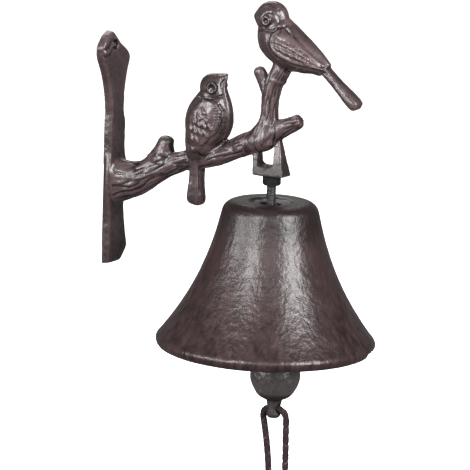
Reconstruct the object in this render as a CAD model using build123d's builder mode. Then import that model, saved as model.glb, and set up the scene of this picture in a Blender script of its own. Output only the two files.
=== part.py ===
from build123d import *
import os
from math import acos, cos, degrees, pi, radians, sin, tan

# A cast-iron wall bell: a branch bracket with two birds, a flared bell on a threaded hook,
# a swinging clapper and its pull cord.
# Millimetres. The wall face is x = 0, the arm reaches along +X in the plane y = 0, and
# z = 0 is the height of the wall screw.

# Wall plate, with a leaf-shaped top and a foot that spreads to one side
plate_thickness = 4.6
plate_width = 15.5
plate_bottom = -114.0
plate_edge_round = 1.0
leaf_tip_z = 7.2
leaf_near_y = -17.7
leaf_far_y = 10.7
leaf_neck_z = -40.0
foot_near_y = -6.9
foot_far_y = 12.6
foot_top_z = -84.0
foot_cut = 6.5
screw_hole_radius = 2.5
screw_hole_y = -5.2

# Stirrup under the branch, which carries the bell
arm_reach = 92.9
stirrup_foot_width = 17.0
stirrup_foot_depth = 12.0
stirrup_foot_shift = -0.2
stirrup_head_width = 15.0
stirrup_head_depth = 2.8
stirrup_head_shift = -3.4
stirrup_head_z = -38.0
stirrup_bottom = -58.2
stirrup_bar = 5.0
stirrup_round = 1.0
window_width = 8.6
window_height = 11.0
window_shift = -2.4
window_round = 2.0

# Birds
wing_proud = 0.9
feather_proud = 0.5
feather_length = 3.2
feather_width = 1.9
eye_proud = 0.5
tail_corner = 2.6
tail_tip_round = 1.6
stub_round = 2.8

# Hook rod and its hardware
rod_radius = 2.5
thread_clearance = 0.1
nut_across_flats = 8.0
nut_height = 4.7
washer_radius = 10.0
washer_thickness = 1.2
hook_bend_radius = 6.2
hook_bend_drop = 27.0
hook_tip_length = 2.0
rod_end_chamfer = 0.6

# Bell: how far its crown hangs below the stirrup, then heights down from the crown
bell_drop = 12.8
crown_thickness = 5.0
crown_radius = 23.2
shoulder_round = 6.5
waist_radius = 26.1
waist_drop = 12.0
mouth_radius = 55.7
mouth_drop = 70.8
flare_bow = 3.7
bell_height = 75.2
bell_wall = 4.0
lip_draw_in = 1.4
lip_round = 1.6
crown_hole_radius = 5.0
recess_radius = 11.0
recess_depth = 1.3

# Clapper
eye_wire_radius = 2.2
eye_inner_radius = 3.4
running_clearance = 0.3
ball_radius = 12.8
ball_drop = 88.8
shank_radius = 3.6
neck_radius = 5.0
stem_radius = 3.7
stem_length = 9.8
stem_end_round = 2.2
cord_hole_radius = 2.5
cord_hole_drop = 4.6
cord_hole_flare = 0.9

# Pull cord
cord_radius = 1.8
cord_fold_radius = 3.6
knot_length = 11.0
knot_radius = 4.8
knot_rim = 0.3
tail_length = 9.0

os.makedirs("parts", exist_ok=True)


def across(path, place):
    """Plane square to a path of (x, z) points in y = 0, its own x along +Y, at one of them."""
    before = path[max(place - 1, 0)]
    after = path[min(place + 1, len(path) - 1)]
    along = (after[0] - before[0], 0, after[1] - before[1])
    return Plane(origin=(path[place][0], 0, path[place][1]), x_dir=(0, 1, 0), z_dir=along)


def bird(
    head, slope, head_radius, beak, eye, stations, wing, feathers, feather_turn, tail, tail_root, tail_tip
):
    """One bird of the casting, the same on both sides of y = 0.

    Its own frame has the middle of the head as origin, runs along the back at the given
    slope, and turns away from the belly. A station is a place along the back, an offset
    from it, and an oval's half height and half depth. The wing is an outline, and raised
    feathers lie on it at their places, turned from the line of the back. The tail gives
    its start and end along the back, its offset and the slant of its end, and its root and
    tip are a thickness and a width each. The eye is a place, an offset and a radius.
    """
    side = Plane(
        origin=(head[0], 0, head[1]),
        x_dir=(cos(radians(slope)), 0, sin(radians(slope))),
        z_dir=(0, -1, 0),
    )
    ovals = [
        Plane(origin=side.from_local_coords((place, offset, 0)), x_dir=(0, 1, 0), z_dir=side.x_dir)
        for place, offset, *_ in stations
    ]
    deepest = max(station[3] for station in stations)

    with BuildPart() as wings:
        for oval, (*_, half_high, half_deep) in zip(ovals, stations):
            with BuildSketch(oval):
                Ellipse(half_deep + wing_proud, half_high)
        loft()
        with BuildSketch(side):
            with BuildLine():
                Spline(*wing, periodic=True)
            make_face()
        extrude(amount=2 * deepest, both=True, mode=Mode.INTERSECT)

    with BuildPart() as plumage:
        for oval, (*_, half_high, half_deep) in zip(ovals, stations):
            with BuildSketch(oval):
                Ellipse(half_deep + wing_proud + feather_proud, half_high)
        loft()
        with BuildSketch(side):
            with Locations(*feathers):
                Ellipse(feather_length / 2, feather_width / 2, rotation=feather_turn)
        extrude(amount=2 * deepest, both=True, mode=Mode.INTERSECT)

    beak_length = Vector(*beak).length
    touch_angle = degrees(acos(head_radius / beak_length))
    beak_way = side.from_local_coords((*beak, 0)) - side.origin
    tail_start, tail_end, tail_offset, tail_slant = tail
    root_thickness, root_width = tail_root
    tip_thickness, tip_width = tail_tip
    eye_place, eye_offset, eye_radius = eye
    eye_depth = (head_radius**2 - eye_place**2 - eye_offset**2) ** 0.5 + eye_proud

    with BuildPart() as tail_fan:
        root = side.from_local_coords((tail_start, tail_offset, 0))
        with BuildSketch(Plane(origin=root, x_dir=side.x_dir, z_dir=side.y_dir)) as fan:
            length = tail_end - tail_start
            with BuildLine():
                Polyline(
                    (0, -root_width / 2),
                    (length + abs(tail_slant), -tip_width / 2),
                    (length + abs(tail_slant), tip_width / 2),
                    (0, root_width / 2),
                    close=True,
                )
            make_face()
            fillet(fan.vertices().sort_by_distance((length, 0))[:2], tail_corner)
        extrude(amount=max(root_thickness, tip_thickness), both=True)
        with BuildSketch(side) as fan_side:
            with BuildLine():
                Polyline(
                    (tail_start, tail_offset - root_thickness / 2),
                    (tail_end - tail_slant, tail_offset - tip_thickness / 2),
                    (tail_end + tail_slant, tail_offset + tip_thickness / 2),
                    (tail_start, tail_offset + root_thickness / 2),
                    close=True,
                )
            make_face()
            fillet(fan_side.vertices().sort_by_distance((tail_end, tail_offset))[:2], tail_tip_round)
        extrude(amount=max(root_width, tip_width), both=True, mode=Mode.INTERSECT)
        fillet(tail_fan.edges().sort_by(SortBy.LENGTH)[-4:], 0.85 * tail_tip_round)

    with BuildPart() as body:
        for oval, (*_, half_high, half_deep) in zip(ovals, stations):
            with BuildSketch(oval):
                Ellipse(half_deep, half_high)
        loft()
        with BuildSketch(Plane(origin=side.origin, x_dir=beak_way, z_dir=side.z_dir)):
            with BuildLine():
                skull = CenterArc((0, 0), head_radius, touch_angle, 180 - touch_angle)
                Polyline(skull @ 1, (beak_length, 0), skull @ 0)
            make_face()
        revolve(axis=Axis(side.origin, beak_way))
        with BuildSketch(side):
            with Locations((eye_place, eye_offset)):
                Circle(eye_radius)
        extrude(amount=eye_depth, both=True)
        add(wings.part)
        add(plumage.part)
        add(tail_fan.part)
    return body.part


# The bird on the branch, upright, looking away from the wall
sitting_bird = bird(
    head=(0.624 * arm_reach, -17.0),
    slope=-90,
    head_radius=6.9,
    beak=(-7.9, 8.9),
    eye=(-0.4, 2.2, 2.9),
    stations=[
        (-1.6, 2.0, 5.6, 5.2),
        (3.4, 0.6, 8.2, 7.0),
        (8.4, -0.4, 11.1, 8.8),
        (13.4, -1.1, 12.7, 10.0),
        (19.4, -1.6, 12.8, 10.2),
        (26.4, -3.0, 11.2, 9.2),
        (33.4, -6.2, 7.4, 7.0),
        (41.4, -7.2, 4.6, 4.2),
    ],
    wing=[
        (5.4, 2.2),
        (8.6, 7.4),
        (13.4, 9.0),
        (18.6, 8.2),
        (23.6, 5.4),
        (28.8, 0.2),
        (32.6, -6.0),
        (25.2, -9.8),
        (14.2, -8.8),
    ],
    feathers=[
        (11.6, 0.4),
        (14.8, -2.2),
        (15.6, 2.0),
        (16.9, -5.2),
        (18.1, -1.8),
        (18.9, 1.4),
        (19.6, 4.6),
        (20.9, -7.4),
        (22.0, -4.2),
        (22.7, -0.9),
        (23.4, 2.3),
        (26.0, -6.4),
        (26.6, -3.0),
    ],
    feather_turn=32,
    tail=(33.2, 60.0, -7.4, 0.7),
    tail_root=(4.6, 10.8),
    tail_tip=(6.8, 6.8),
)

# The bird at the top of the twig, its back sloping down and out, looking at the wall
perched_bird = bird(
    head=(arm_reach - 3.0, 20.8),
    slope=-42,
    head_radius=8.5,
    beak=(-8.1, -7.0),
    eye=(0.5, -0.4, 2.6),
    stations=[
        (-2.0, -1.5, 6.5, 6.0),
        (4.0, -3.9, 10.3, 8.5),
        (10.0, -4.5, 11.1, 10.0),
        (17.0, -3.9, 10.9, 10.2),
        (24.0, -2.4, 9.8, 9.2),
        (31.0, 0.3, 7.2, 6.8),
        (38.0, 2.8, 4.2, 4.8),
    ],
    wing=[
        (8.3, 3.4),
        (8.6, -3.2),
        (14.0, -7.4),
        (22.0, -6.2),
        (29.0, -2.6),
        (37.0, 3.6),
        (27.0, 4.6),
        (17.0, 4.2),
    ],
    feathers=[
        (12.8, -2.0),
        (15.4, -4.4),
        (16.6, -0.4),
        (19.2, -2.8),
        (20.8, 1.2),
        (23.0, -1.4),
        (25.0, 2.2),
        (26.8, 0.0),
        (29.2, 3.0),
        (30.6, 1.0),
    ],
    feather_turn=8,
    tail=(30.0, 62.6, 2.9, -0.8),
    tail_root=(3.9, 8.0),
    tail_tip=(3.9, 9.4),
)

# Middle lines of the branch and of the twig that rises from it, as x, z, half height or half
# length across, and half depth along Y
branch = [
    (0.03 * arm_reach, -71.0, 11.4, 7.0),
    (0.15 * arm_reach, -69.2, 9.4, 6.4),
    (0.28 * arm_reach, -63.9, 7.0, 6.0),
    (0.43 * arm_reach, -57.3, 5.6, 4.6),
    (0.60 * arm_reach, -53.3, 5.4, 4.4),
    (0.77 * arm_reach, -47.0, 5.6, 5.2),
    (0.88 * arm_reach, -42.5, 6.1, 6.2),
    (0.98 * arm_reach, -38.5, 5.6, 6.0),
]
twig = [
    (arm_reach - 4.6, -42.0, 7.4, 6.4),
    (arm_reach - 3.7, -33.0, 5.7, 5.3),
    (arm_reach - 2.6, -21.0, 4.7, 4.6),
    (arm_reach - 1.2, -13.0, 5.0, 4.7),
    (arm_reach + 1.9, -6.6, 4.9, 4.9),
    (arm_reach + 4.6, -1.0, 5.6, 5.0),
    (arm_reach + 6.0, 4.0, 5.6, 5.0),
]
# Stubs of cut twigs: base, tip, and the radius at each
stubs = [
    ((0.325 * arm_reach, -58.0), (0.356 * arm_reach, -45.0), 6.3, 3.8),
    ((arm_reach - 3.8, -16.5), (arm_reach - 10.0, -4.1), 3.6, 3.2),
    ((arm_reach - 0.4, -36.8), (arm_reach + 15.4, -28.3), 5.0, 3.9),
]

half_plate = plate_width / 2
window_bottom = stirrup_bottom + stirrup_bar
window_middle_z = window_bottom + window_height / 2

with BuildPart() as stirrup:
    with BuildSketch(Plane.XY.offset(stirrup_head_z)):
        with Locations((arm_reach + stirrup_head_shift, 0)):
            Rectangle(stirrup_head_width, stirrup_head_depth)
    with BuildSketch(Plane.XY.offset(stirrup_bottom)):
        with Locations((arm_reach + stirrup_foot_shift, 0)):
            Rectangle(stirrup_foot_width, stirrup_foot_depth)
    loft()
    fillet(stirrup.edges().sort_by(Axis.Z)[4:8], stirrup_round)
    with BuildSketch(Plane.XZ):
        with Locations((arm_reach + window_shift, window_middle_z)):
            RectangleRounded(window_width, window_height, window_round)
    extrude(amount=stirrup_foot_depth, both=True, mode=Mode.SUBTRACT)

with BuildPart() as bracket:
    with BuildSketch(Plane.YZ):
        with BuildLine():
            near_side = Spline(
                (-7.0, leaf_tip_z),
                (leaf_near_y + 2.6, 2.9),
                (leaf_near_y, -1.0),
                (-13.2, -13.4),
                (-9.2, -24.0),
                (-half_plate, leaf_neck_z),
            )
            foot = Polyline(
                near_side @ 1,
                (foot_near_y, plate_bottom),
                (foot_far_y - foot_cut, plate_bottom),
                (foot_far_y, plate_bottom + foot_cut),
                (half_plate, foot_top_z),
                (half_plate, leaf_neck_z),
            )
            far_side = Spline(
                foot @ 1,
                (5.8, -26.0),
                (leaf_far_y - 1.2, -12.0),
                (leaf_far_y, -7.6),
                (leaf_far_y - 5.0, -2.4),
                (-1.0, 2.0),
            )
            Line(far_side @ 1, near_side @ 0)
        make_face()
    extrude(amount=plate_thickness)
    fillet(bracket.faces().sort_by(Axis.X)[-1].edges(), plate_edge_round)
    with BuildSketch(Plane.YZ):
        with Locations((screw_hole_y, 0)):
            Circle(screw_hole_radius)
    extrude(amount=plate_thickness, mode=Mode.SUBTRACT)
    for limb in (branch, twig):
        for place, (*_, half_high, half_deep) in enumerate(limb):
            with BuildSketch(across(limb, place)):
                Ellipse(half_deep, half_high)
        loft()
    for base, tip, base_radius, tip_radius in stubs:
        for place, radius in enumerate((base_radius, tip_radius)):
            with BuildSketch(across((base, tip), place)):
                Circle(radius)
        loft()
        cut_end = bracket.faces(Select.LAST).sort_by_distance((tip[0], 0, tip[1]))[0]
        fillet(cut_end.edges(), stub_round)
    add(stirrup.part)
    add(sitting_bird)
    add(perched_bird)
    with BuildSketch(Plane.XY.offset(stirrup_bottom)):
        with Locations((arm_reach, 0)):
            Circle(rod_radius + thread_clearance)
    extrude(amount=stirrup_bar, mode=Mode.SUBTRACT)

bracket.part.label = "bracket"
export_step(bracket.part, "parts/bracket.step")
print("bracket solids", len(bracket.part.solids()), "volume", round(bracket.part.volume))


crown_z = stirrup_bottom - bell_drop
hook_bend_z = crown_z - hook_bend_drop
ball_z = crown_z - ball_drop

with BuildPart() as hanger_hook:
    with BuildLine(Plane.XZ) as rod_line:
        shank_line = Line((arm_reach, window_bottom), (arm_reach, hook_bend_z))
        bend = CenterArc((arm_reach + hook_bend_radius, hook_bend_z), hook_bend_radius, 180, 180)
        Line(bend @ 1, bend @ 1 + Vector(0, 0, hook_tip_length))
    with BuildSketch(Plane(origin=(arm_reach, 0, window_bottom), z_dir=(0, 0, -1))):
        Circle(rod_radius)
    sweep(path=rod_line.line)
    chamfer(hanger_hook.edges().filter_by(GeomType.CIRCLE).filter_by(Plane.XY), rod_end_chamfer)

hanger_hook.part.label = "hanger_hook"
export_step(hanger_hook.part, "parts/hanger_hook.step")


def hex_nut(top_z):
    """Hexagon nut on the rod, both ends turned to a cone as bought nuts are."""
    corner_radius = nut_across_flats / 2 / cos(radians(30))
    cone_start = nut_across_flats / 2
    with BuildPart() as nut:
        with BuildSketch(Plane(origin=(arm_reach, 0, top_z - nut_height))):
            RegularPolygon(nut_across_flats / 2, 6, major_radius=False, rotation=30)
            Circle(rod_radius + thread_clearance, mode=Mode.SUBTRACT)
        extrude(amount=nut_height)
        with BuildSketch(Plane(origin=(arm_reach, 0, top_z), x_dir=(1, 0, 0), z_dir=(0, -1, 0))):
            with BuildLine():
                Polyline(
                    (0, 0),
                    (cone_start, 0),
                    (corner_radius, cone_start - corner_radius),
                    (corner_radius, corner_radius - cone_start - nut_height),
                    (cone_start, -nut_height),
                    (0, -nut_height),
                    close=True,
                )
            make_face()
        revolve(axis=Axis((arm_reach, 0, top_z), (0, 0, 1)), mode=Mode.INTERSECT)
    return nut.part


crown_under_z = crown_z - crown_thickness
nut_tops = {"lock_nut": stirrup_bottom, "retaining_nut": crown_under_z - washer_thickness}
for name, top_z in nut_tops.items():
    nut = hex_nut(top_z)
    nut.label = name
    export_step(nut, f"parts/{name}.step")

with BuildPart() as bell_washer:
    with BuildSketch(Plane(origin=(arm_reach, 0, crown_under_z))):
        Circle(washer_radius)
        Circle(rod_radius + thread_clearance, mode=Mode.SUBTRACT)
    extrude(amount=-washer_thickness)

bell_washer.part.label = "bell_washer"
export_step(bell_washer.part, "parts/bell_washer.step")

bell_axis = Axis((arm_reach, 0, crown_z), (0, 0, 1))
with BuildPart() as bell:
    bell_plane = Plane(origin=(arm_reach, 0, crown_z), x_dir=(1, 0, 0), z_dir=(0, -1, 0))
    with BuildSketch(bell_plane) as bell_section:
        with BuildLine():
            crown = Polyline(
                (crown_hole_radius, -crown_thickness),
                (crown_hole_radius, -recess_depth),
                (recess_radius, -recess_depth),
                (recess_radius, 0),
                (crown_radius, 0),
                (waist_radius, -waist_drop),
            )
            flare = SagittaArc(crown @ 1, (mouth_radius, -mouth_drop), -flare_bow)
            lip_outside = mouth_radius - lip_draw_in
            lip = Polyline(
                flare @ 1,
                (lip_outside, -bell_height),
                (lip_outside - bell_wall, -bell_height),
            )
            inside = SagittaArc(lip @ 1, (waist_radius - bell_wall, -waist_drop), flare_bow)
            Polyline(inside @ 1, (crown_radius - bell_wall, -crown_thickness), crown @ 0)
        make_face()
        corners = bell_section.vertices()
        fillet(corners.sort_by_distance((crown_radius, 0))[0], shoulder_round)
        fillet(corners.sort_by_distance((mouth_radius, -bell_height))[:3], lip_round)
    revolve(axis=bell_axis)

bell.part.label = "bell"
export_step(bell.part, "parts/bell.step")

# The clapper hangs from a bar that lies in the hook's bend, on the bend's own centre line
clapper_x = arm_reach + hook_bend_radius
hook_inner_radius = hook_bend_radius - rod_radius
bar_z = hook_bend_z - (hook_inner_radius - eye_wire_radius - running_clearance)
eye_radius = eye_inner_radius + eye_wire_radius
eye_z = bar_z - eye_radius
shank_top = eye_z - eye_inner_radius - eye_wire_radius / 2
stem_bottom = ball_z - ball_radius - stem_length
cord_hole_z = ball_z - ball_radius - cord_hole_drop

with BuildPart() as clapper:
    clapper_plane = Plane(origin=(clapper_x, 0, 0), x_dir=(1, 0, 0), z_dir=(0, -1, 0))
    with BuildSketch(clapper_plane) as clapper_section:
        with BuildLine():
            neck_z = ball_z + (ball_radius**2 - neck_radius**2) ** 0.5
            stem_top = ball_z - (ball_radius**2 - stem_radius**2) ** 0.5
            Polyline((stem_radius, stem_top), (stem_radius, stem_bottom), (0, stem_bottom))
            Line((0, stem_bottom), (0, shank_top))
            dome = RadiusArc((0, shank_top), (shank_radius, shank_top - shank_radius), shank_radius)
            Line(dome @ 1, (neck_radius, neck_z))
            ThreePointArc((neck_radius, neck_z), (ball_radius, ball_z), (stem_radius, stem_top))
        make_face()
        stem_corner = clapper_section.vertices().sort_by_distance((stem_radius, stem_bottom))[0]
        fillet(stem_corner, stem_end_round)
    revolve(axis=Axis((clapper_x, 0, 0), (0, 0, 1)))
    with BuildSketch(Plane(origin=(clapper_x, 0, eye_z), x_dir=(1, 0, 0), z_dir=(0, -1, 0))):
        with Locations((0, eye_radius)):
            Circle(eye_wire_radius)
    revolve(axis=Axis((clapper_x, 0, eye_z), (1, 0, 0)))
    with BuildSketch(Plane(origin=(clapper_x, 0, cord_hole_z), x_dir=(1, 0, 0), z_dir=(0, -1, 0))):
        with BuildLine():
            mouth_start = stem_radius - cord_hole_flare
            mouth_end = stem_radius + cord_hole_flare
            mouth_width = cord_hole_radius + 2 * cord_hole_flare
            Polyline(
                (-mouth_end, 0),
                (-mouth_end, mouth_width),
                (-mouth_start, cord_hole_radius),
                (mouth_start, cord_hole_radius),
                (mouth_end, mouth_width),
                (mouth_end, 0),
                close=True,
            )
        make_face()
    revolve(axis=Axis((clapper_x, 0, cord_hole_z), (1, 0, 0)), mode=Mode.SUBTRACT)

clapper.part.label = "clapper"
export_step(clapper.part, "parts/clapper.step")

# Route of the cord in y = 0: up one strand, through the clapper's hole and down the other, as
# places beside and below the middle of the hole
cord_places = [
    (1.6, 114.0),
    (1.6, 88.0),
    (0.0, 58.0),
    (-1.7, 30.0),
    (-4.1, 12.6),
    (-6.3, 0.3),
    (6.5, 0.3),
    (7.8, 12.6),
    (9.1, 30.0),
    (8.6, 58.0),
    (5.4, 88.0),
    (5.4, 114.0),
]
cord_route = [(clapper_x + beside, cord_hole_z - below) for beside, below in cord_places]
fold_places = (5, 6)


def bend_radii(route):
    """Largest arc that each corner's two runs allow, or the tight fold at the clapper's hole."""
    radii = []
    for place in range(1, len(route) - 1):
        arriving = Vector(*route[place]) - Vector(*route[place - 1])
        leaving = Vector(*route[place + 1]) - Vector(*route[place])
        half_turn = radians(arriving.get_angle(leaving)) / 2
        largest = 0.45 * min(arriving.length, leaving.length) / tan(half_turn)
        radii.append(cord_fold_radius if place in fold_places else largest)
    return radii


with BuildPart() as pull_cord:
    with BuildLine(Plane.XZ) as cord_line:
        cord_path = FilletPolyline(*cord_route, radius=bend_radii(cord_route))
    with BuildSketch(Plane(origin=cord_path @ 0, z_dir=cord_path % 0)):
        Circle(cord_radius)
    sweep(path=cord_path)

print("cord radii", [round(radius, 1) for radius in bend_radii(cord_route)])
tube_volume = pi * cord_radius**2 * cord_path.length
print("cord length", round(cord_path.length, 1), "volume share", pull_cord.part.volume / tube_volume)
pull_cord.part.label = "pull_cord"
export_step(pull_cord.part, "parts/pull_cord.step")

# Knot that ties both strands, with the cord's two short ends under it
knot_top = cord_route[0][1]
knot_x = (cord_route[0][0] + cord_route[-1][0]) / 2
strand_gap = (cord_route[-1][0] - cord_route[0][0]) / 2
with BuildPart() as cord_knot:
    with BuildSketch(Plane(origin=(knot_x, 0, knot_top), x_dir=(1, 0, 0), z_dir=(0, -1, 0))):
        with BuildLine():
            end_radius = strand_gap + cord_radius + knot_rim
            Polyline((end_radius, 0), (0, 0), (0, -knot_length), (end_radius, -knot_length))
            ThreePointArc((end_radius, -knot_length), (knot_radius, -knot_length / 2), (end_radius, 0))
        make_face()
    revolve(axis=Axis((knot_x, 0, knot_top), (0, 0, 1)))
    with BuildSketch(Plane.XY.offset(knot_top - knot_length)):
        with Locations((knot_x - strand_gap, 0), (knot_x + strand_gap, 0)):
            Circle(cord_radius)
    extrude(amount=-tail_length)

cord_knot.part.label = "cord_knot"
export_step(cord_knot.part, "parts/cord_knot.step")
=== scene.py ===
# %% [markdown]
# # A cast-iron wall bell
# A branch-shaped bracket with two small birds holds a flared bell on a threaded hook. The solids
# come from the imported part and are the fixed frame. This lesson dresses them: it carves the
# casting, cuts the thread, braids the cord and mixes the finishes.

# %% Load the solids
from math import cos, pi, radians, sin, tau

import bpy
import numpy as np
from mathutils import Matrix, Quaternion, Vector, noise


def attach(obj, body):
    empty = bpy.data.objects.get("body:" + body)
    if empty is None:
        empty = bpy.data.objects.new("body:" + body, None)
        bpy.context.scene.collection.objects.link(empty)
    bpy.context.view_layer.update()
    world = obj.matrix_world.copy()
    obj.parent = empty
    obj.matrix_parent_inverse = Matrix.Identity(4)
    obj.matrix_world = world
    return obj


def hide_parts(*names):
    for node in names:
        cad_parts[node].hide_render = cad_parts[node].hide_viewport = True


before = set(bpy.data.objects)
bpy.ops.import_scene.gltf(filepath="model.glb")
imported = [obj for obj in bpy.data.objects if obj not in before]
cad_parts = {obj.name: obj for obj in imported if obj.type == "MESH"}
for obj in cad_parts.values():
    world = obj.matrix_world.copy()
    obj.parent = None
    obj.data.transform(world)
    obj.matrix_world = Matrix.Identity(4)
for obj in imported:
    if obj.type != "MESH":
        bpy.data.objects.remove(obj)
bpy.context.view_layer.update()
MM = 0.001
print("solids:", sorted(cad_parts))

# %% [markdown]
# ## The camera
# The photograph looks slightly down on the bell, from in front and a little to the arm's side.
# A long lens keeps the sides of the plate nearly parallel, so the camera stands 1.5 m away, and a
# small roll follows the tilt that the picture has.

# %% Place the camera
CAMERA_PLACE = Vector((740.72, -1309.68, 208.05)) * MM
CAMERA_TARGET = Vector((73.41, 0.0, -91.0)) * MM
CAMERA_ROLL = radians(2.1)
FOCAL_PIXELS = 2970.3
IMAGE_PIXELS = 470

bpy.ops.object.camera_add(location=CAMERA_PLACE)
camera = bpy.context.object
camera.rotation_mode = "QUATERNION"
aim = (CAMERA_TARGET - CAMERA_PLACE).to_track_quat("-Z", "Y")
camera.rotation_quaternion = aim @ Quaternion((0, 0, 1), CAMERA_ROLL)
camera.data.lens = FOCAL_PIXELS / IMAGE_PIXELS * camera.data.sensor_width
bpy.context.scene.camera = camera
print("lens", round(camera.data.lens, 1), "mm")

# %% [markdown]
# ## The cord's line
# The pull cord is one limp piece. It goes up from a knot, through the hole in the clapper's stem
# and down again. Its route is the solid's own list of points, given to a spline that rounds them.
# The corners at the hole stand a little further out, so that the cord lies against the stem, and
# one strand hangs a little closer to the other, as in the photograph.

# %% Draw the cord's line
HOLE_MIDDLE = Vector((99.1, 0.0, -177.2))
CORD_PLACES = [
    (1.6, 114.0),
    (1.6, 88.0),
    (0.0, 58.0),
    (-1.7, 30.0),
    (-4.1, 12.6),
    (-7.0, -0.2),
    (7.2, -0.2),
    (7.3, 12.6),
    (7.8, 30.0),
    (7.6, 58.0),
    (5.4, 88.0),
    (5.4, 114.0),
]
CORD_RADIUS = 1.8


def spline_points(name, places, closeness):
    """Points, in millimetres, along a smooth spline with these places as its control points."""
    curve = bpy.data.curves.new(name, "CURVE")
    curve.dimensions = "3D"
    curve.resolution_u = closeness
    spline = curve.splines.new("NURBS")
    spline.points.add(len(places) - 1)
    for point, place in zip(spline.points, places):
        point.co = (*(Vector(place) * MM), 1.0)
    spline.order_u = 3
    spline.use_endpoint_u = True
    holder = bpy.data.objects.new(name, curve)
    mesh = bpy.data.meshes.new_from_object(holder)
    points = np.array([vertex.co for vertex in mesh.vertices]) / MM
    bpy.data.objects.remove(holder)
    bpy.data.meshes.remove(mesh)
    return points


cord_control = [HOLE_MIDDLE + Vector((beside, 0, -below)) for beside, below in CORD_PLACES]
cord_line = spline_points("cord_line", cord_control, closeness=40)

# %% [markdown]
# ## Braiding
# A braid is two sets of yarns that wind round a core in opposite directions and pass over and
# under each other. Each yarn is a flat tube on a helix round the cord's line, and its distance
# from the middle rises and falls so that it goes over one crossing and under the next.

# %% Helpers for tubes and braids
def even_points(points, step):
    """The same line, read again at even steps."""
    run = np.concatenate([[0], np.cumsum(np.linalg.norm(np.diff(points, axis=0), axis=1))])
    places = np.linspace(0, run[-1], max(int(run[-1] / step), 2) + 1)
    return np.stack([np.interp(places, run, points[:, axis]) for axis in range(3)], axis=1), places


def line_frames(points):
    """Two directions across a line, carried along it without twist."""
    along = np.gradient(points, axis=0)
    along /= np.linalg.norm(along, axis=1)[:, None]
    across = np.zeros_like(along)
    start = np.array((0.0, 1.0, 0.0))
    for place, direction in enumerate(along):
        start = start - direction * (start @ direction)
        start = start / np.linalg.norm(start)
        across[place] = start
    return across, np.cross(along, across)


def tube(points, half_wide, half_thick, outward, sides):
    """Corners and faces of a closed oval tube, its thin side along outward."""
    along = np.gradient(points, axis=0)
    sideways = np.cross(along, outward)
    sideways /= np.linalg.norm(sideways, axis=1)[:, None]
    angles = np.arange(sides) / sides * tau
    rings = (
        points[:, None]
        + half_wide * np.cos(angles)[None, :, None] * sideways[:, None]
        + half_thick * np.sin(angles)[None, :, None] * outward[:, None]
    )
    count = len(points)
    faces = []
    for place in range(count - 1):
        for side in range(sides):
            after = (side + 1) % sides
            low, high = place * sides, (place + 1) * sides
            faces.append((low + side, low + after, high + after, high + side))
    faces.append(tuple(reversed(range(sides))))
    faces.append(tuple((count - 1) * sides + side for side in range(sides)))
    return rings.reshape(-1, 3), faces


def select_only(piece):
    """Select one object and make it the active one."""
    bpy.ops.object.select_all(action="DESELECT")
    piece.select_set(True)
    bpy.context.view_layer.objects.active = piece


def mesh_piece(name, corners, faces):
    """A new object at the origin, from corners in millimetres."""
    mesh = bpy.data.meshes.new(name)
    mesh.from_pydata([tuple(corner) for corner in np.asarray(corners) * MM], [], faces)
    mesh.validate()
    piece = bpy.data.objects.new(name, mesh)
    bpy.context.scene.collection.objects.link(piece)
    select_only(piece)
    bpy.ops.object.mode_set(mode="EDIT")
    bpy.ops.mesh.select_all(action="SELECT")
    bpy.ops.mesh.normals_make_consistent(inside=False)
    bpy.ops.object.mode_set(mode="OBJECT")
    bpy.ops.object.shade_smooth()
    return piece


def keep_values(piece, name, values):
    """Store one number for each corner, for a finish to read."""
    piece.data.attributes.new(name, "FLOAT", "POINT").data.foreach_set("value", values)


# %% [markdown]
# The yarns' sizes are shares of the cord's radius: how far out a yarn runs, how much it rises over
# a crossing, and how wide and thick it is. At a crossing its outer side just reaches the radius.

# %% Helpers for a braided piece
YARNS = 8
BRAID_PITCH = 9.0
BRAID_STEP = 0.55
CORE_SHARE = 0.80
CORE_SIDES = 10
CORE_TONE = 0.2
YARN_SHARE = 0.78
YARN_RISE = 0.07
YARN_HALF_WIDE = 0.38
YARN_HALF_THICK = 0.15
YARN_SIDES = 6
YARN_TONE_STEP = 0.37


def braid(lines, radius):
    """Corners, faces and yarn tones of braided cords along lines of points."""
    corners, faces, tones = [], [], []
    for line in lines:
        points, run = even_points(line, BRAID_STEP)
        across, side = line_frames(points)
        core = CORE_SHARE * radius
        tubes = [(points, core, core, across, CORE_SIDES, CORE_TONE)]
        for yarn in range(YARNS):
            turn = 1 if yarn % 2 else -1
            angle = turn * tau * run / BRAID_PITCH + yarn * tau / YARNS
            outward = np.cos(angle)[:, None] * across + np.sin(angle)[:, None] * side
            wave = np.cos(YARNS / 2 * tau * run / BRAID_PITCH + (yarn // 2) * pi) * turn
            reach = radius * (YARN_SHARE + YARN_RISE * wave)
            path = points + outward * reach[:, None]
            half_wide, half_thick = YARN_HALF_WIDE * radius, YARN_HALF_THICK * radius
            tone = (yarn * YARN_TONE_STEP) % 1
            tubes.append((path, half_wide, half_thick, outward, YARN_SIDES, tone))
        for path, half_wide, half_thick, outward, sides, tone in tubes:
            first = sum(len(part) for part in corners)
            ring, ring_faces = tube(path, half_wide, half_thick, outward, sides)
            corners.append(ring)
            faces += [tuple(first + corner for corner in face) for face in ring_faces]
            tones += [tone] * len(ring)
    return np.concatenate(corners), faces, tones


def braided_piece(name, lines, radius):
    """A piece of braided cord that knows each yarn's tone."""
    corners, faces, tones = braid(lines, radius)
    piece = mesh_piece(name, corners, faces)
    keep_values(piece, "tone", tones)
    print(name, len(piece.data.polygons), "faces")
    return piece


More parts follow.
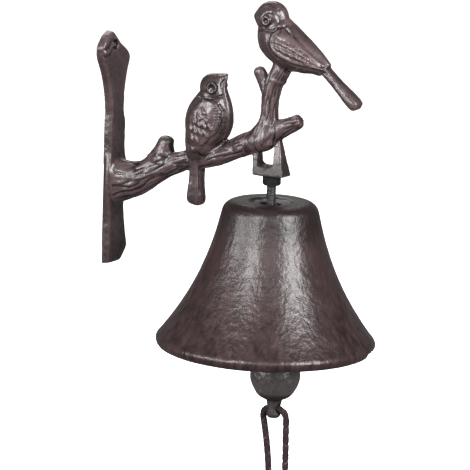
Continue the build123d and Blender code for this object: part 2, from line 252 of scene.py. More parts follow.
# %% Braid the cord and tie its knot
KNOT_TOP = cord_control[0].z
KNOT_MIDDLE_X = (cord_control[0].x + cord_control[-1].x) / 2
KNOT_TURNS = 3
KNOT_LENGTH = 11.0
TAIL_LENGTH = 9.0
WRAP_RADIUS = 1.6
WRAP_INNER = 1.2
WRAP_SWELL = 1.75
WRAP_TUCK = 0.12
KNOT_MARGIN = 0.2
TAIL_OVERLAP = 1.0
TAIL_MARGIN = 0.5

wrap_edge = WRAP_RADIUS + KNOT_MARGIN
turns = np.linspace(0, 1, 90)
tuck = np.clip(np.minimum(turns, 1 - turns) / WRAP_TUCK, 0, 1)
wrap_reach = WRAP_INNER + WRAP_SWELL * tuck
wrap_line = np.stack(
    [
        KNOT_MIDDLE_X + wrap_reach * np.cos(KNOT_TURNS * tau * turns),
        wrap_reach * np.sin(KNOT_TURNS * tau * turns),
        KNOT_TOP - wrap_edge - (KNOT_LENGTH - 2 * wrap_edge) * turns,
    ],
    axis=1,
)
tail_top = KNOT_TOP - TAIL_OVERLAP
tail_end = KNOT_TOP - KNOT_LENGTH - TAIL_LENGTH + TAIL_MARGIN
tail_lines = [
    np.array([(strand.x, 0.0, tail_top), (strand.x, 0.0, tail_end)])
    for strand in (cord_control[0], cord_control[-1])
]
pull_cord = braided_piece("pull_cord_braid", [cord_line], CORD_RADIUS)
cord_knot = braided_piece("cord_knot_braid", [wrap_line, *tail_lines], WRAP_RADIUS)

# %% [markdown]
# ## The skin of a casting
# Sand-cast iron has no sharp inner corners: the metal runs into every joint and leaves it round.
# A copy of the solid is wrapped in a fine voxel skin and eased, which rounds the joints where
# branch, birds and plate meet. More metal runs into the branch's root, which flares into the plate,
# and into the feet of two stubs. The carving is then cut into that skin.

# %% Helpers for the casting's skin
def cast_skin(node, name, voxel, easing):
    """A copy of a solid, merged, wrapped in even small faces and eased."""
    piece = bpy.data.objects.new(name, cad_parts[node].data.copy())
    bpy.context.scene.collection.objects.link(piece)
    select_only(piece)
    bpy.ops.object.mode_set(mode="EDIT")
    bpy.ops.mesh.select_all(action="SELECT")
    bpy.ops.mesh.remove_doubles(threshold=0.005 * MM)
    bpy.ops.object.mode_set(mode="OBJECT")
    skin = piece.modifiers.new("skin", "REMESH")
    skin.mode = "VOXEL"
    skin.voxel_size = voxel * MM
    skin.use_smooth_shade = True
    bpy.ops.object.modifier_apply(modifier="skin")
    ease = piece.modifiers.new("ease", "SMOOTH")
    ease.factor = 0.5
    ease.iterations = easing
    bpy.ops.object.modifier_apply(modifier="ease")
    print(name, len(piece.data.polygons), "faces")
    return piece


def read_skin(piece):
    """Corners in millimetres, and the way each one faces."""
    corners = np.empty(len(piece.data.vertices) * 3)
    facing = np.empty_like(corners)
    piece.data.vertices.foreach_get("co", corners)
    piece.data.vertices.foreach_get("normal", facing)
    return corners.reshape(-1, 3) / MM, facing.reshape(-1, 3)


def set_skin(piece, corners):
    """Move the corners to these places, in millimetres."""
    piece.data.vertices.foreach_set("co", (corners * MM).ravel())
    piece.data.update()


def push_skin(piece, amount):
    """Move each corner along the way it faces, by an amount in millimetres."""
    corners, facing = read_skin(piece)
    set_skin(piece, corners + facing * amount[:, None])


def soften(piece, share, rounds):
    """Ease the skin further where share is above zero."""
    group = piece.vertex_groups.new(name="soft")
    for corner in np.flatnonzero(share > 0.02):
        group.add([int(corner)], float(share[corner]), "REPLACE")
    select_only(piece)
    ease = piece.modifiers.new("soft", "SMOOTH")
    ease.vertex_group = "soft"
    ease.factor = 0.5
    ease.iterations = rounds
    bpy.ops.object.modifier_apply(modifier="soft")
    piece.vertex_groups.clear()


def lumps(places, size, seed):
    """Smooth noise from about -1 to 1, with swellings of this size."""
    offset = Vector((seed * 17.3, seed * 5.1, seed * 9.7))
    return np.array([noise.noise(Vector(place) / size + offset) for place in places]) * 1.6


def fade(low, high, value):
    """0 below low, 1 above high, and a smooth step between them."""
    share = np.clip((value - low) / (high - low), 0, 1)
    return share * share * (3 - 2 * share)


def line_distance(corner_points, first, second):
    """Distance of points in a plane from a line drawn through corners."""
    nearest = np.full(len(first), 1e9)
    for start, end in zip(corner_points, corner_points[1:]):
        run = np.subtract(end, start)
        share = (first - start[0]) * run[0] + (second - start[1]) * run[1]
        share = np.clip(share / (run @ run), 0, 1)
        gap = np.hypot(first - start[0] - share * run[0], second - start[1] - share * run[1])
        nearest = np.minimum(nearest, gap)
    return nearest


def ridge(distance, width):
    """A rounded ridge of height 1 along a line."""
    return np.exp(-((distance / width) ** 2))


def drop(place, offset, centre, turn, length, width):
    """A raised drop, blunt at its lower edge, turned in the plane."""
    a = (place - centre[0]) * cos(turn) + (offset - centre[1]) * sin(turn)
    b = (offset - centre[1]) * cos(turn) - (place - centre[0]) * sin(turn)
    stretch = np.where(a > 0, 0.6, 1.25) * length
    return np.exp(-((a / stretch) ** 2) - (b / width) ** 2)


def feather_relief(along, offset, centre, turn):
    """A feather's blunt end, with a groove round it."""
    body = drop(along, offset, centre, turn, 2.1, 1.0)
    return 0.28 * body - 0.28 * ridge(body - 0.14, 0.12)


def patch(along, offset, middle, reach, turn):
    """1 in the middle of an oval patch on a bird's map, and 0 outside it."""
    a = (along - middle[0]) * cos(turn) + (offset - middle[1]) * sin(turn)
    b = (offset - middle[1]) * cos(turn) - (along - middle[0]) * sin(turn)
    return 1 - fade(0.75, 1.05, np.hypot(a / reach[0], b / reach[1]))


def beads(line, spacing):
    """Even places along a line in a plane."""
    flat = np.array([(*corner, 0.0) for corner in line])
    return even_points(flat, spacing)[0][:, :2]


# %% Wrap the bracket and flare the branch's root
PLATE_FRONT = 4.6
ROOT_MIDDLE_Z = -71.0
ROOT_HALF_HIGH = 11.0
ROOT_HALF_DEEP = 7.0
FLARE_ACROSS = 0.40
FLARE_UP = 0.14
FLARE_REACH = 4.5
# Middle x and z, width and depth of the metal that runs into a joint
JOINT_FILLS = [(25.5, -57.5, 5.5, 2.6), (95.5, -33.0, 4.0, 1.2)]

bracket = cast_skin("bracket", "bracket_casting", voxel=0.50, easing=5)
places, facing = read_skin(bracket)
# These three are views of places, so what is added to them moves the corners
x, y, z = places.T
off_wall = fade(0.8, 2.4, x)
root_across = y / ROOT_HALF_DEEP
root_up = (z - ROOT_MIDDLE_Z) / ROOT_HALF_HIGH
spread = np.hypot(root_across, root_up)
flare = ridge(spread - 1, 0.5) / np.maximum(spread, 0.2) * off_wall
flare *= np.exp(-np.clip(x - PLATE_FRONT, 0, None) / FLARE_REACH)
root_shift = FLARE_ACROSS * flare * root_across * ROOT_HALF_DEEP
y += root_shift
z += FLARE_UP * flare * root_up * ROOT_HALF_HIGH
for middle_x, middle_z, width, depth in JOINT_FILLS:
    fill = depth * ridge(np.hypot(x - middle_x, z - middle_z), width)
    x += fill * facing[:, 0]
    z += fill * facing[:, 2]
set_skin(bracket, places)
print("the branch's root flares by up to", round(float(np.abs(root_shift).max()), 1), "mm")

# %% Soften the joints
# Places x and z where limbs, birds and twigs meet
JOINTS = [(30.0, -55.0), (34.0, -53.0), (92.0, -37.0), (96.0, -34.0), (88.0, -14.0), (58.0, -46.0)]
SITTING_TAIL_X = 50.5
PERCHED_TAIL_TIP = (124.0, -4.5)

by_plate = off_wall * (1 - fade(9.0, 12.0, x))
by_stirrup = fade(46.0, 48.0, -z) * fade(80, 83, x)
joint_gap = np.min([np.hypot(x - joint[0], z - joint[1]) for joint in JOINTS], axis=0)
by_joint = 1 - fade(4.0, 9.0, joint_gap)
tip_gap = np.hypot(x - PERCHED_TAIL_TIP[0], z - PERCHED_TAIL_TIP[1])
by_tail = fade(54, 57, -z) * (np.abs(x - SITTING_TAIL_X) < 6)
by_tail = np.maximum(by_tail, 1 - fade(9, 12, tip_gap))
for share, rounds in ((by_plate, 36), (by_stirrup, 20), (by_joint, 24), (by_tail, 8)):
    soften(bracket, share, rounds)
places, facing = read_skin(bracket)
x, y, z = places.T
side_on = fade(0.25, 0.6, np.abs(facing[:, 1]))
print("soft corners by joints", int((by_joint > 0).sum()), "of", len(places))

# %% [markdown]
# ## Carving the birds
# Each bird has its own small map: one number along the back from the head, and one away from the
# belly. Feathers, eye rings and collars are drawn on that map, and both sides of the bird get
# them, as they would from one wooden pattern pressed into sand.

# %% Helpers for the birds
def bird_map(head, slope):
    """Each corner's place along a bird's back, and its offset from the belly side."""
    turn = radians(slope)
    ahead, above = x - head[0], z - head[1]
    return ahead * cos(turn) + above * sin(turn), above * cos(turn) - ahead * sin(turn)


def eye_relief(along, offset, centre, radius):
    """A raised ring round a sunk pupil."""
    gap = np.hypot(along - centre[0], offset - centre[1])
    return 0.42 * ridge(gap - 0.80 * radius, 0.5) - 0.6 * ridge(gap, 0.30 * radius)


# %% Carve the sitting bird
SITTING_HEAD = (57.97, -17.0)
SITTING_SLOPE = -90

along, offset = bird_map(SITTING_HEAD, SITTING_SLOPE)
sitting = fade(-14, -10, along) * (1 - fade(29, 33, along)) * fade(-17, -15, offset)
sitting *= 1 - fade(14, 16, offset)
cut = eye_relief(along, offset, (-0.4, 2.2), 3.0)
beak_line = [(-6.0, 6.0), (-3.4, 6.8), (-0.6, 7.2)]
cut -= 0.35 * ridge(line_distance(beak_line, along, offset), 0.6)
collar = [(2.6, -8.6), (3.8, -5.0), (4.5, -1.0), (4.5, 3.0), (3.6, 6.6), (2.2, 10.0)]
cut -= 0.6 * ridge(line_distance(collar, along, offset), 0.75)
FEATHERS = [
    (11.6, 0.4),
    (14.8, -2.2),
    (15.6, 2.0),
    (16.9, -5.2),
    (18.1, -1.8),
    (18.9, 1.4),
    (19.6, 4.6),
    (20.9, -7.4),
    (22.0, -4.2),
    (22.7, -0.9),
    (23.4, 2.3),
    (26.0, -6.4),
    (26.6, -3.0),
]
for feather in FEATHERS:
    cut += feather_relief(along, offset, feather, radians(32))
wing_edge = [(7.6, 7.2), (10.6, 9.2), (16.7, 9.0), (22.6, 6.4), (28.4, 1.0)]
cut -= 0.45 * ridge(line_distance(wing_edge, along, offset), 0.5)
for shift, height in ((-1.3, 0.42), (-2.7, 0.34)):
    for bead in beads([(a, b + shift) for a, b in wing_edge], 1.5):
        cut += height * ridge(np.hypot(along - bead[0], offset - bead[1]), 0.62)
shoulder = [(6.6, -1.0), (6.0, 2.0), (7.4, 5.0)]
cut += 0.30 * ridge(line_distance(shoulder, along, offset), 1.8)
carving = cut * side_on * sitting
worn = patch(along, offset, (18.0, -0.5), (13.0, 9.5), radians(-10)) * side_on
print("sitting bird relief", carving.min().round(2), carving.max().round(2), "mm")

# %% Carve the perched bird
PERCHED_HEAD = (89.9, 20.8)
PERCHED_SLOPE = -42

along, offset = bird_map(PERCHED_HEAD, PERCHED_SLOPE)
perched = fade(-14, -11, along) * (1 - fade(64, 66, along)) * fade(-14.5, -12.5, offset)
cut = eye_relief(along, offset, (0.5, -0.4), 2.7)
cheek = np.hypot(along - 2.0, offset - 0.8)
cut -= 0.22 * ridge(cheek - 4.6, 0.6)
beak_line = [(-4.2, -6.6), (-5.4, -3.2), (-4.4, -0.4)]
cut -= 0.30 * ridge(line_distance(beak_line, along, offset), 0.6)
collar = [(0.2, -8.8), (2.2, -5.4), (4.4, -3.2), (6.4, -0.8), (8.0, 2.2), (9.0, 5.2), (9.4, 8.4)]
cut -= 0.55 * ridge(line_distance(collar, along, offset), 0.7)
lower_edge = [(8.2, 1.6), (8.2, -2.4), (10.0, -5.6), (13.6, -7.2), (18.6, -6.4), (25.6, -3.8)]
lower_edge += [(32.4, 0.2), (39.0, 4.8)]
edge_gap = line_distance(lower_edge, along, offset)
cut += 0.36 * ridge(edge_gap, 0.8) - 0.25 * ridge(edge_gap - 1.6, 0.5)
back_edge = [(9.4, 4.6), (14.8, 5.0), (24.9, 5.6), (34.5, 6.0), (40.0, 6.4)]
cut -= 0.48 * ridge(line_distance(back_edge, along, offset), 0.6)
LONG_FEATHERS = [
    (12.8, -2.0),
    (15.4, -4.4),
    (16.6, -0.4),
    (19.2, -2.8),
    (20.8, 1.2),
    (23.0, -1.4),
    (25.0, 2.2),
    (26.8, 0.0),
    (29.2, 3.0),
    (30.6, 1.0),
]
for feather in LONG_FEATHERS:
    cut += feather_relief(along, offset, feather, radians(8))
for feather in range(3):
    quill = [(20.0 + 3 * feather, 3.4 - 0.2 * feather), (37.0, 5.2 - 0.4 * feather)]
    cut -= 0.16 * ridge(line_distance(quill, along, offset), 0.4)
nape = [(-0.6, 7.6), (2.4, 8.2), (5.6, 8.0), (8.6, 7.2)]
for bead in beads(nape, 2.0):
    cut += 0.34 * ridge(np.hypot(along - bead[0], offset - bead[1]), 0.9)
carving += cut * side_on * perched
worn = np.maximum(worn, 1.3 * patch(along, offset, (22.5, -0.4), (15.5, 7.0), radians(12)) * side_on)
# A lighter patch on the perched bird's nape
worn = np.maximum(worn, 0.8 * patch(along, offset, (6.0, 8.0), (5.5, 2.6), radians(-10)))
print("both birds' relief", carving.min().round(2), carving.max().round(2), "mm")

# %% [markdown]
# ## Bark, tails, wear and painted light and shade
# Bark furrows run with the branch, so the noise that cuts them is stretched along it. The nearest
# place on the branch's middle line says how far along a corner is and how far round. A last number
# for each corner says how worn its lacquer is and where light and shade are painted on it, and the
# finish reads it.

# %% Helper for the limbs
BRANCH = [(-12, -73.0), (3, -71.0), (14, -69.2), (26, -63.9), (40, -57.3), (56, -53.3)]
BRANCH += [(72, -47.0), (82, -42.5), (92, -38.0), (108, -29)]
TWIG = [(88.3, -44), (89.2, -33), (90.3, -21), (91.7, -13), (94.5, -6.6), (97.5, -1)]


def limb_map(line):
    """Place along a limb, angle round it, and distance from it, for each corner."""
    best = np.full(len(places), 1e9)
    place = np.zeros(len(places))
    lean = np.zeros(len(places))
    passed = 0.0
    for start, end in zip(line, line[1:]):
        run = np.subtract(end, start)
        length = np.hypot(*run)
        ahead, above = x - start[0], z - start[1]
        share = np.clip((ahead * run[0] + above * run[1]) / length**2, 0, 1)
        gap = np.hypot(ahead - share * run[0], above - share * run[1])
        nearer = gap < best
        best[nearer] = gap[nearer]
        place[nearer] = passed + share[nearer] * length
        lean[nearer] = (above * run[0] - ahead * run[1])[nearer] / length
        passed += length
    return place, np.arctan2(lean, -y), np.hypot(best, y)


# %% Carve the bark
BARK_STRETCH = 12.0
BARK_ROUND = 2.3
FINE_BARK = (1.8, 2.2, 2.2)
TWIG_RING = [(92.0, -9.0), (100.0, -11.5)]

tail_gap = np.abs(x - SITTING_TAIL_X)
on_bird = np.maximum(sitting * (z > -48.5), perched * (z > -3.0))
on_plate = 1 - fade(5.0, 6.5, x)
on_tail = (tail_gap < 3.8) & (z < -48) & (np.abs(y) > 4.0)
on_tail |= (tail_gap < 4.4) & (z < -61)
bark = np.zeros(len(places))
for line, seed in ((BRANCH, 1), (TWIG, 2)):
    place, angle, gap = limb_map(line)
    close = 1 - fade(9.5, 12.0, gap)
    flow = [place / BARK_STRETCH, BARK_ROUND * np.cos(angle), BARK_ROUND * np.sin(angle)]
    flow = np.stack(flow, axis=1)
    furrow = np.abs(lumps(flow, 1.0, seed))
    fine = lumps(flow * FINE_BARK, 1.0, seed + 4)
    limb_bark = 0.30 * fade(0.0, 0.55, furrow) - 0.36 + 0.16 * fine
    bark = np.where(close > np.abs(bark), limb_bark * close, bark)
bark *= (1 - on_bird) * (1 - on_plate) * (1 - on_tail) * (1 - by_stirrup)
bark += 0.35 * ridge(line_distance(TWIG_RING, x, z), 0.9) * (np.abs(y) < 7)
carving += bark
worn = np.maximum(worn, 0.7 * (bark > -0.2) * (np.abs(bark) > 0.001) * side_on)
print("bark", bark.min().round(2), bark.max().round(2), "mm")

# %% Carve the tails and the leaf's fold
QUILL_SPACING = 3.2
TAIL_SWELL_X = 51.0
LEAF_FOLD = [(-15.6, -3.2), (-12.4, -2.6), (-8.8, 0.6)]

sitting_tail = on_tail & (z < -56)
perched_tail = (along > 40) & (np.abs(offset - 2.9) < 4)
quills = ridge(np.abs(np.sin(y * pi / QUILL_SPACING)), 0.35)
carving -= 0.30 * quills * sitting_tail * (np.abs(facing[:, 0]) > 0.5)
carving -= 0.28 * quills * perched_tail * (1 - side_on)
carving += 0.9 * fade(62, 75, -z) * (np.abs(x - TAIL_SWELL_X) < 7)
carving += 0.8 * fade(44, 60, along) * perched_tail
fold = line_distance(LEAF_FOLD, y, z)
on_leaf = (x < 5.5) & (z > -12)
carving += (0.55 * ridge(fold, 1.0) - 0.40 * ridge(fold - 2.0, 0.8)) * on_leaf
print("carving", carving.min().round(2), carving.max().round(2), "mm")

# %% Roughen the casting, wear it and paint light and shade on it
SCREW_HOLE_Y = -5.2

carving += 0.16 * lumps(places, 9.0, 6) + 0.07 * lumps(places, 2.6, 7)
carving += 0.18 * by_stirrup * lumps(places, 3.5, 12)
wall_side = 1 - fade(0.3, 0.9, x)
push_skin(bracket, carving * (1 - wall_side))

# The screw hole is made darker: painted shade
shaded_hole = 1 - fade(2.2, 3.0, np.hypot(y - SCREW_HOLE_Y, z))
worn -= 2.0 * shaded_hole * (x < 4.4)
# The stirrup is made darker towards its bottom
worn -= 0.7 * by_stirrup * fade(44, 58, -z)
# The plate is made lighter at the top and darker lower down: painted light and painted shade
worn += on_plate * (0.35 - 0.5 * fade(40, 90, -z))
# The perched bird and the top of the twig are made lighter: painted light
worn += 0.25 * fade(-32, -22, z) * fade(80, 84, x)
keep_values(bracket, "worn", worn)
print("worn places", int((worn > 0.5).sum()), "of", len(worn))

# %% [markdown]
# ## The bell and the clapper
# Both are castings too. The bell is smooth, with only the soft waves that the sand leaves, a round
# lip, and a small step in that lip where the halves of the mould met. The clapper's ball is rougher
# and lighter, and its stem is thicker just under the ball and darker, which is painted shade.

# %% Wrap the bell
BELL_AXIS_X = 92.9
LIP_BAND = (139.5, 142.5)
LIP_SWELL = 0.5
RIM_RADIUS = 52
LIP_STEP_Z = -143.4
LIP_STEP_TURN = radians(27)
LIP_STEP_DEPTH = 1.5

bell = cast_skin("bell", "bell_casting", voxel=0.9, easing=4)
lip = fade(*LIP_BAND, -read_skin(bell)[0][:, 2])
soften(bell, lip, 40)
places = read_skin(bell)[0]
x, y, z = places.T
wave = 0.10 * lumps(places, 22.0, 8) + 0.035 * lumps(places, 5.0, 9)
turned = np.abs(np.arctan2(y, x - BELL_AXIS_X) - LIP_STEP_TURN)
on_rim = np.hypot(x - BELL_AXIS_X, y) > RIM_RADIUS
step = fade(-0.3, 0.3, LIP_STEP_Z - z) * (1 - fade(0.28, 0.42, turned)) * on_rim
push_skin(bell, wave + LIP_SWELL * lip - LIP_STEP_DEPTH * step)

# %% Wrap the clapper
NECK_Z = -170.5
NECK_SWELL = 0.7
BALL_START = (146, 150)
STEM_START = (167.5, 169.5)

clapper = cast_skin("clapper", "clapper_casting", voxel=0.5, easing=3)
places = read_skin(clapper)[0]
height = places[:, 2]
rough_ball = 0.12 * lumps(places, 5.0, 10) + 0.06 * lumps(places, 1.8, 11)
neck = NECK_SWELL * ridge(height - NECK_Z, 2.5)
push_skin(clapper, neck + fade(*BALL_START, -height) * rough_ball)
# The ball is made lighter and the stem darker; the stem's darkness is painted shade
keep_values(clapper, "worn", 0.8 - 2.2 * fade(*STEM_START, -height))

# %% [markdown]
# ## The threaded hook
# The rod is 5 mm steel with a rolled thread on its straight part and a plain bend at the end. The
# thread is a helix: the rod's radius falls and rises once in each pitch, and the place where it
# does so moves round with the angle.

# %% Cut the thread on the hook
ROD_RADIUS = 2.5
ROD_TOP = -53.2
BEND_Z = -98.0
BEND_RADIUS = 6.2
TIP_LENGTH = 2.0
THREAD_PITCH = 0.8
THREAD_DEPTH = 0.38
THREAD_END = -88.0
ROD_SIDES = 32
CHAMFER = 0.6

straight = [(BELL_AXIS_X, 0.0, z) for z in np.arange(ROD_TOP, THREAD_END - 1, -THREAD_PITCH / 8)]
plain = [(BELL_AXIS_X, 0.0, z) for z in np.linspace(THREAD_END - 1.2, BEND_Z, 12)[:-1]]
bend = [
    (BELL_AXIS_X + BEND_RADIUS * (1 - cos(turn)), 0.0, BEND_Z - BEND_RADIUS * sin(turn))
    for turn in np.linspace(0, pi, 40)
]
tip = [(BELL_AXIS_X + 2 * BEND_RADIUS, 0.0, BEND_Z + rise) for rise in np.linspace(0, TIP_LENGTH, 9)[1:]]
rod_line = np.array(straight + plain + bend + tip)
rod_across, rod_side = line_frames(rod_line)
rod_run = np.concatenate([[0], np.cumsum(np.linalg.norm(np.diff(rod_line, axis=0), axis=1))])
angles = np.arange(ROD_SIDES) / ROD_SIDES * tau
phase = (rod_run[:, None] / THREAD_PITCH + angles[None, :] / tau) % 1
threaded = 1 - fade(-THREAD_END - 2, -THREAD_END, -rod_line[:, 2])
cut = THREAD_DEPTH * np.abs(2 * phase - 1) * threaded[:, None]
end_gap = np.minimum(rod_run, rod_run[-1] - rod_run)
round_off = np.clip(CHAMFER - end_gap, 0, CHAMFER)
reach = ROD_RADIUS - np.maximum(cut, round_off[:, None])
rings = (
    rod_line[:, None]
    + reach[:, :, None] * np.cos(angles)[None, :, None] * rod_across[:, None]
    + reach[:, :, None] * np.sin(angles)[None, :, None] * rod_side[:, None]
)
rod_faces = tube(rod_line, 1.0, 1.0, rod_across, ROD_SIDES)[1]
hook = mesh_piece("hanger_hook_threaded", rings.reshape(-1, 3), rod_faces)
print("hook", len(hook.data.polygons), "faces")

# %% [markdown]
# ## Finishes
# A finish is a small net of nodes. One class stands for a node's output, so that sums and products
# of outputs can be written as plain arithmetic, and one method makes every other node.

# %% Helpers for the finishes
class Wire:
    """One output of a node. Arithmetic with it adds Math nodes."""

    def __init__(self, finish, socket):
        self.finish = finish
        self.socket = socket

    def math(self, operation, first, second):
        return self.finish.node("ShaderNodeMath", {"operation": operation}, {0: first, 1: second})

    def __add__(self, other):
        return self.math("ADD", self, other)

    def __sub__(self, other):
        return self.math("SUBTRACT", self, other)

    def __mul__(self, other):
        return self.math("MULTIPLY", self, other)

    __radd__ = __add__
    __rmul__ = __mul__


class Finish:
    """A material whose nodes are made one at a time."""

    def __init__(self, name, **constants):
        self.material = bpy.data.materials.new(name)
        self.material.use_nodes = True
        self.tree = self.material.node_tree
        self.shader = self.tree.nodes["Principled BSDF"]
        self.put(self.shader, constants)

    def put(self, node, inputs):
        """Set or link the sockets of a node."""
        for key, value in inputs.items():
            socket = node.inputs[key.replace("_", " ") if isinstance(key, str) else key]
            if isinstance(value, Wire):
                self.tree.links.new(value.socket, socket)
            else:
                socket.default_value = value

    def node(self, kind, settings=None, inputs=None, output=0):
        """Make a node: its settings first, then its sockets. Gives one of its outputs."""
        made = self.tree.nodes.new(kind)
        for key, value in (settings or {}).items():
            if key == "stops":
                while len(made.color_ramp.elements) < len(value):
                    made.color_ramp.elements.new(0.5)
                for element, (position, colour) in zip(made.color_ramp.elements, value):
                    element.position = position
                    element.color = (*colour, 1.0)
            else:
                setattr(made, key, value)
        self.put(made, inputs or {})
        return Wire(self, made.outputs[output])

    def places(self, scale=(1, 1, 1)):
        """The piece's own coordinates, stretched."""
        own = self.node("ShaderNodeTexCoord", output=3)
        return self.node("ShaderNodeMapping", None, {"Vector": own, "Scale": scale})

    def grain(self, size, scale=(1, 1, 1), detail=3.0):
        """Noise from 0 to 1 with grains of this size in millimetres."""
        inputs = {"Vector": self.places(scale), "Scale": 1 / (size * MM), "Detail": detail}
        return self.node("ShaderNodeTexNoise", None, inputs)

    def span(self, value, low, high, least=0.0):
        """A share that goes from least to 1 as a value goes from low to high."""
        return self.node("ShaderNodeMapRange", None, {0: value, 1: low, 2: high, 3: least, 4: 1.0})

    def ramp(self, value, stops):
        """A colour for each level of a value."""
        return self.node("ShaderNodeValToRGB", {"stops": stops}, {"Fac": value})

    def finish(self, **inputs):
        """Feed the shader, and give the material."""
        self.put(self.shader, inputs)
        print("finish", self.material.name, len(self.tree.nodes), "nodes")
        return self.material

    def bump(self, height, depth, before=None):
        """Small relief from a height between 0 and 1, this many millimetres deep."""
        inputs = {"Height": height, "Distance": depth * MM, "Strength": 1.0}
        if before is not None:
            inputs["Normal"] = before
        return self.node("ShaderNodeBump", None, inputs)


# %% [markdown]
# ## Lacquered iron
# The castings are dipped in a dark red-brown lacquer. Its colour is lighter on sharp edges and darker
# in the hollows, which is painted highlight and painted shade. A number kept on each corner makes
# worn places lighter and greyer, and in a few places it paints light and shade instead. Where the
# number is low, as on the stirrup, the coat is dull. On the bell the lacquer ran down in streaks,
# which grow stronger and a little darker towards the lip, and the crown is darker: painted shade.
# The sand's grain shows through everywhere as fine relief, which breaks the highlights into sparks.

# %% Mix the lacquer
STREAKS_WEAK_Z = -0.090
STREAKS_FULL_Z = -0.142
CROWN_EDGE_Z = -0.092
CROWN_TOP_Z = -0.079


def lacquered_iron(name, dark, light, start, grain_size, grain_depth, shine, gloss, streaks=0.0):
    """A casting's coat, from a dark tone to a light one, over sand grain of a size and depth."""
    finish = Finish(name, Metallic=0.0, Specular_IOR_Level=gloss)
    cloud = finish.grain(14.0, detail=4.0)
    sand = finish.grain(grain_size, detail=2.0)
    pits = finish.grain(2.1 * grain_size, detail=2.0)
    swell = finish.grain(4.5 * grain_size, detail=1.0)
    bend = finish.node("ShaderNodeNewGeometry", output=7)
    # Pointiness: the colour is lighter on sharp edges and darker in creases, a painted highlight and
    # painted shade
    edge_light_hollow_shade = finish.span(bend, 0.47, 0.56)
    # The kept number: wear where it is above zero, and in a few places painted light and painted shade
    wear_and_shade_level = finish.node("ShaderNodeAttribute", {"attribute_name": "worn"}, output=2)
    tone = 0.40 * cloud + 0.15 * pits + 0.15 * sand + 0.50 * edge_light_hollow_shade + 0.20 * wear_and_shade_level
    rough = shine + 0.16 * sand + 0.10 * cloud + 0.22 * finish.span(wear_and_shade_level, -0.2, -0.6)
    if streaks:
        height = finish.node("ShaderNodeSeparateXYZ", None, {0: finish.places()}, output=2)
        low = finish.span(height, STREAKS_WEAK_Z, STREAKS_FULL_Z, least=0.3)
        # The crown is made darker: painted shade
        painted_crown_shade = finish.span(height, CROWN_EDGE_Z, CROWN_TOP_Z)
        tone = tone + streaks * low * (finish.grain(3.0, (1.0, 1.0, 0.14)) - 0.56) - 0.3 * painted_crown_shade
        rough = rough + 0.06 * painted_crown_shade
    colour = finish.ramp(tone, [(start, dark), (start + 0.6, light)])
    relief = finish.bump(swell, 3.5 * grain_depth)
    relief = finish.bump(pits, 2.0 * grain_depth, before=relief)
    relief = finish.bump(sand, 0.8 * grain_depth, before=relief)
    return finish.finish(Base_Color=colour, Roughness=rough, Normal=relief)


bracket_finish = lacquered_iron(
    "lacquered_bracket",
    dark=(0.0075, 0.0038, 0.0040),
    light=(0.080, 0.054, 0.056),
    start=0.40,
    grain_size=1.2,
    grain_depth=0.08,
    shine=0.17,
    gloss=0.40,
)
bell_finish = lacquered_iron(
    "lacquered_bell",
    dark=(0.009, 0.0044, 0.0044),
    light=(0.038, 0.0208, 0.0214),
    start=0.25,
    grain_size=0.9,
    grain_depth=0.09,
    shine=0.20,
    gloss=0.33,
    streaks=1.2,
)
clapper_finish = lacquered_iron(
    "dipped_clapper",
    dark=(0.014, 0.010, 0.010),
    light=(0.100, 0.086, 0.086),
    start=0.40,
    grain_size=1.2,
    grain_depth=0.20,
    shine=0.24,
    gloss=0.45,
)

# %% [markdown]
# ## Bright steel, black nuts and cord
# The rod and washer are dull zinc, the nuts are blackened, and the cord is dark red yarn with a
# few pale fibres that catch the light.

# %% Mix the steel and the cord
zinc = Finish("dull_zinc", Metallic=1.0)
zinc_cloud = zinc.grain(1.2)
zinc_finish = zinc.finish(
    Base_Color=zinc.ramp(zinc_cloud, [(0.3, (0.03, 0.03, 0.031)), (0.75, (0.085, 0.085, 0.088))]),
    Roughness=0.36 + 0.25 * zinc_cloud,
    Normal=zinc.bump(zinc.grain(0.4), 0.02),
)
black = Finish("blackened_steel", Metallic=0.6)
black_cloud = black.grain(1.6)
black_finish = black.finish(
    Base_Color=black.ramp(black_cloud, [(0.3, (0.0035, 0.0033, 0.0035)), (0.8, (0.011, 0.0105, 0.0108))]),
    Roughness=0.34 + 0.25 * black_cloud,
    Normal=black.bump(black.grain(0.6), 0.05),
)
yarn = Finish("braided_yarn", Metallic=0.0, Specular_IOR_Level=0.25)
yarn_tone = yarn.node("ShaderNodeAttribute", {"attribute_name": "tone"}, output=2)
yarn_fibre = yarn.grain(0.35, (1, 1, 0.25))
yarn_fleck = yarn.grain(1.3, detail=1.0)
yarn_level = 0.35 * yarn_tone + 0.40 * yarn_fibre + 0.35 * yarn_fleck
cord_finish = yarn.finish(
    Base_Color=yarn.ramp(
        yarn_level,
        [(0.30, (0.010, 0.005, 0.006)), (0.66, (0.015, 0.006, 0.0075)), (0.92, (0.20, 0.15, 0.15))],
    ),
    Roughness=0.75 + 0.2 * yarn_fibre,
    Normal=yarn.bump(yarn_fibre, 0.12),
)

# %% [markdown]
# ## Putting the pieces on their bodies
# Each new piece stands for a solid and moves with its body: the bell turns, the clapper swings and
# takes the cord along, and the rest stays on the wall.

# %% Attach the pieces
for piece, node, body, slot, material in (
    (bracket, "bracket", "bracket", "casting", bracket_finish),
    (bell, "bell", "bell", "casting", bell_finish),
    (clapper, "clapper", "clapper", "casting", clapper_finish),
    (hook, "hanger_hook", "bracket", "zinc_steel", zinc_finish),
    (pull_cord, "pull_cord", "clapper", "cord", cord_finish),
    (cord_knot, "cord_knot", "clapper", "cord", cord_finish),
):
    piece.data.materials.clear()
    piece.data.materials.append(material)
    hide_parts(node)
    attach(piece, body)
for node, material in (
    ("lock_nut", black_finish),
    ("retaining_nut", black_finish),
    ("bell_washer", zinc_finish),
):
    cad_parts[node].data.materials.clear()
    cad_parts[node].data.materials.append(material)

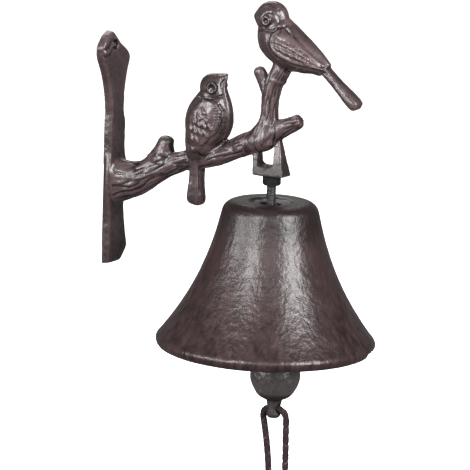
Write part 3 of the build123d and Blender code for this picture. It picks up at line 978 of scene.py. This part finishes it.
# %% [markdown]
# ## Floor and light
# The photograph is a cut-out on white, lit softly from both sides. White paper lies far below and
# rises all round as a dome. It shows to the camera alone, because the hanging bell has no light
# from under it in the picture.

# %% Lay the paper
FLOOR_Z = -0.345
FLOOR_SIZE = 40
DOME_RADIUS = 8

bpy.ops.mesh.primitive_plane_add(size=FLOOR_SIZE, location=(0, 0, FLOOR_Z))
floor = bpy.context.object
floor.name = "floor"
bpy.ops.mesh.primitive_uv_sphere_add(radius=DOME_RADIUS, location=(0, 0, FLOOR_Z))
dome = bpy.context.object
dome.name = "paper_dome"
dome.visible_shadow = False
paper = Finish("white_paper", Emission_Strength=1.0)
paper_cloud = paper.grain(400.0)
paper_finish = paper.finish(
    Base_Color=paper.ramp(paper_cloud, [(0.2, (0.90, 0.90, 0.90)), (0.8, (0.94, 0.94, 0.94))]),
    Roughness=0.9 + 0.1 * paper_cloud,
    Emission_Color=paper.ramp(paper_cloud, [(0.2, (0.92, 0.92, 0.92)), (0.8, (0.96, 0.96, 0.96))]),
)
for paper_sheet in (floor, dome):
    paper_sheet.data.materials.append(paper_finish)
    paper_sheet.visible_diffuse = False
    paper_sheet.visible_glossy = False

# %% [markdown]
# Two tall soft boxes give the two upright highlights on the bell, three weak ones fill, and one
# behind and above keeps the back from going black. Each stands at a turn from the camera and at a
# height, both in degrees, and aims at the bell.

# %% Light the sky and hang the lights
CAMERA_TURN = 27.0
LIGHT_DISTANCE = 1.6
LIGHT_TARGET = Vector((BELL_AXIS_X, 0, -95.0)) * MM
# Name, turn, height, width and tallness in metres, and power in watts
SOFT_BOXES = [
    ("right_box", 46.0, 24.0, 0.60, 0.90, 55.0),
    ("left_box", -34.0, 22.0, 0.46, 0.75, 33.0),
    ("side_box", -68.0, 10.0, 0.70, 0.60, 22.0),
    ("front_box", 4.0, 22.0, 0.50, 0.70, 5.0),
    ("top_box", 0.0, 80.0, 1.0, 1.0, 1.5),
    ("back_box", -165.0, 46.0, 1.0, 0.80, 11.0),
]

sky = bpy.data.worlds.new("pale_sky")
sky.use_nodes = True
sky.node_tree.nodes["Background"].inputs["Color"].default_value = (1.0, 1.0, 1.0, 1.0)
sky.node_tree.nodes["Background"].inputs["Strength"].default_value = 0.20
bpy.context.scene.world = sky
bpy.context.scene.view_settings.view_transform = "Standard"

for name, turn, height, wide, tall, power in SOFT_BOXES:
    heading = radians(CAMERA_TURN + turn - 90)
    lift = radians(height)
    way = Vector((cos(heading) * cos(lift), sin(heading) * cos(lift), sin(lift)))
    bpy.ops.object.light_add(type="AREA", location=LIGHT_TARGET + way * LIGHT_DISTANCE)
    light = bpy.context.object
    light.name = name
    light.rotation_mode = "QUATERNION"
    light.rotation_quaternion = (-way).to_track_quat("-Z", "Y")
    light.data.shape = "RECTANGLE"
    light.data.size = wide
    light.data.size_y = tall
    light.data.energy = power
print("lights", [name for name, *_ in SOFT_BOXES])
